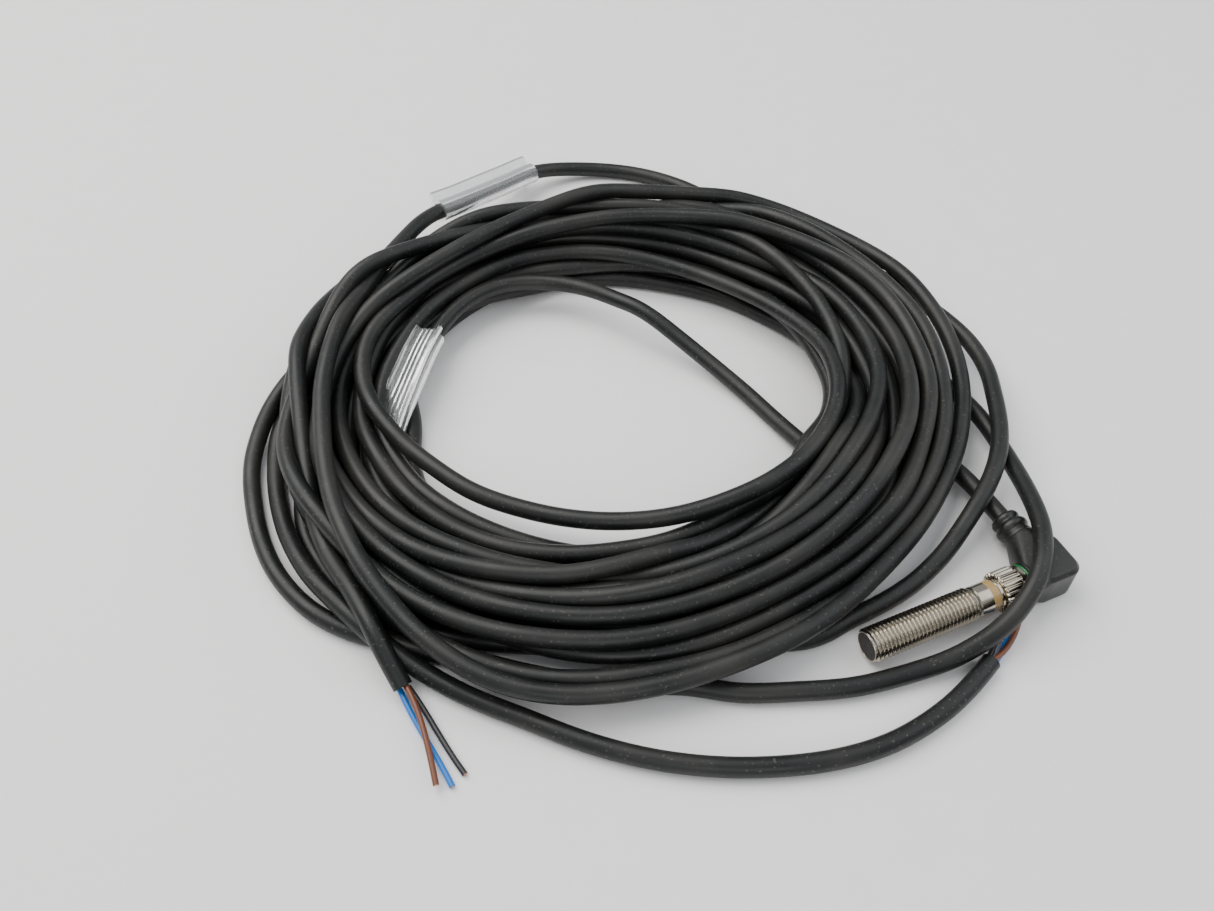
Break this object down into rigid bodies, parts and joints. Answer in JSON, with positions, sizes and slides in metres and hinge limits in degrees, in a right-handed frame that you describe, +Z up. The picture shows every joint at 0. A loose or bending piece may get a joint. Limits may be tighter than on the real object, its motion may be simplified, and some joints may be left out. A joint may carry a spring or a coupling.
{
  "type": "proximity sensor",
  "caption": "Cylindrical inductive proximity sensor with a threaded metal barrel, screwed to a right-angle plug on a long black lead, wound with a matching lead.",
  "frame": {"origin": "on the surface the part lies on, at the centre of the box round the sensor and the plug that is screwed to it", "axes": "+X along the sensor from its sensing face to its plug, +Y along the plug's cable outlet, +Z up"},
  "size_m": [0.1819, 0.2187, 0.021],
  "materials": {
    "nickel": "nickel-plated brass, bright, slightly warm, with fine turning marks",
    "cap_plastic": "dark grey moulded plastic face with faint moulding swirl",
    "ferrite": "sintered ferrite, dark and dull",
    "bobbin_plastic": "natural nylon",
    "copper_winding": "enamelled copper wire, wound in layers",
    "board": "glass-fibre board with green solder mask",
    "chip": "black moulded package",
    "potting_resin": "casting resin",
    "light_ring": "translucent amber plastic",
    "black_insert": "black moulded insert",
    "gold_contact": "gold-plated contact",
    "green_seal": "green sealing ring, slightly glossy",
    "inner_mould": "inner moulding round the wire joints",
    "plug_black": "black moulded polyurethane, satin with fine spark texture",
    "cable_sheath": "matt black polyurethane sheath with dust specks and handling shine",
    "core_blue": "blue core insulation",
    "core_brown": "brown core insulation",
    "core_black": "black core insulation",
    "clear_sleeve": "clear extruded plastic with long ribs and fine scratches"
  },
  "bodies": {
    "leads": {"seal_ring": "green_seal", "socket_carrier": "black_insert", "socket_contact_1": "gold_contact", "socket_contact_2": "gold_contact", "socket_contact_3": "gold_contact", "inner_mould": "inner_mould", "plug_body": "plug_black", "strain_relief": "plug_black", "second_seal_ring": "green_seal", "second_socket_carrier": "black_insert", "second_socket_contact_1": "gold_contact", "second_socket_contact_2": "gold_contact", "second_socket_contact_3": "gold_contact", "second_inner_mould": "inner_mould", "second_plug_body": "plug_black", "second_strain_relief": "plug_black", "cable_coil": "cable_sheath", "lead_one_start": "cable_sheath", "lead_one_loop": "cable_sheath", "lead_one_tail": "cable_sheath", "lead_two_start": "cable_sheath", "lead_two_arc": "cable_sheath", "lead_two_over": "cable_sheath", "lead_two_tail": "cable_sheath", "lead_one_core_blue": "core_blue", "lead_one_core_brown": "core_brown", "lead_one_core_black": "core_black", "lead_two_core_blue": "core_blue", "lead_two_core_brown": "core_brown", "lead_two_core_black": "core_black", "marker_sleeve_one": "clear_sleeve", "marker_sleeve_two": "clear_sleeve"},
    "sensor": {"barrel": "nickel", "sensing_cap": "cap_plastic", "ferrite_core": "ferrite", "coil_bobbin": "bobbin_plastic", "sensing_coil": "copper_winding", "circuit_board": "board", "sensing_chip": "chip", "output_transistor": "chip", "indicator_led": "light_ring", "potting": "potting_resin", "light_ring": "light_ring", "connector_shell": "nickel", "contact_carrier": "black_insert", "contact_pin_1": "gold_contact", "contact_pin_2": "gold_contact", "contact_pin_3": "gold_contact"},
    "nut": {"coupling_nut": "nickel"},
    "second_nut": {"second_coupling_nut": "nickel"}
  },
  "joints": [
    {"name": "nut_turn", "type": "hinge", "parent": "leads", "child": "nut", "pos_m": [0.0106, -0.006, 0.0048], "axis": [1, 0, 0], "range_deg": [0, 1804]},
    {"name": "sensor_draw", "type": "slide", "parent": "leads", "child": "sensor", "axis": [-1, 0, 0], "range_m": [0, 0.005]},
    {"name": "second_nut_spin", "type": "hinge", "parent": "leads", "child": "second_nut", "pos_m": [-0.0194, 0.0272, 0.0048], "axis": [1, 0, 0], "continuous": true}
  ],
  "couplings": [
    {"joint": "nut_turn", "follows": "sensor_draw", "rad_per_m": 6283.2}
  ]
}
